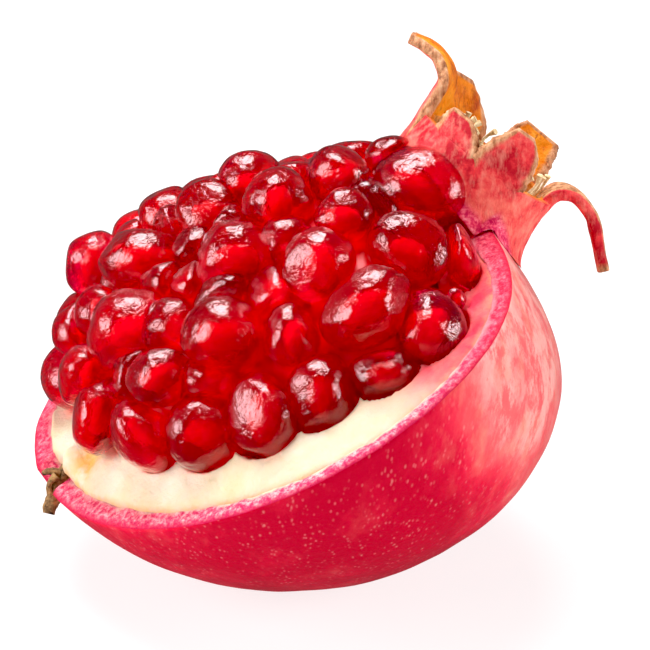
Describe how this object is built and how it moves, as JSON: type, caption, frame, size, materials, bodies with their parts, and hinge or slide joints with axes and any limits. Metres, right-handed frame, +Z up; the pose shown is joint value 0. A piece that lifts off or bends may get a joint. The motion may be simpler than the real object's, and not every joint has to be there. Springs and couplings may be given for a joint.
{
  "type": "opened pomegranate",
  "caption": "Pomegranate with its lid of rind taken off along a slanted cut, its seeds heaped above the rim and its calyx and stem stub still on.",
  "frame": {"origin": "centre of the small flat spot that the fruit rests on", "axes": "+Z up from the table; +X to the right and -Y towards the viewer in the picture's view; the fruit's stem-to-crown axis rises along +X"},
  "size_m": [0.0782, 0.0821, 0.0736],
  "materials": {
    "rind": "waxy crimson skin with fine pale specks, pink where it is cut",
    "pith": "matt cream, soft",
    "arils": "wet, glossy, clear ruby red",
    "calyx": "dull coral red, drier and orange inside",
    "stamens": "dry, pale straw",
    "stem_stub": "rough brown bark"
  },
  "bodies": {
    "root": {"rind": "rind", "pith": "pith", "arils": "arils", "calyx": "calyx", "stamens": "stamens", "stem_stub": "stem_stub"}
  },
  "joints": []
}
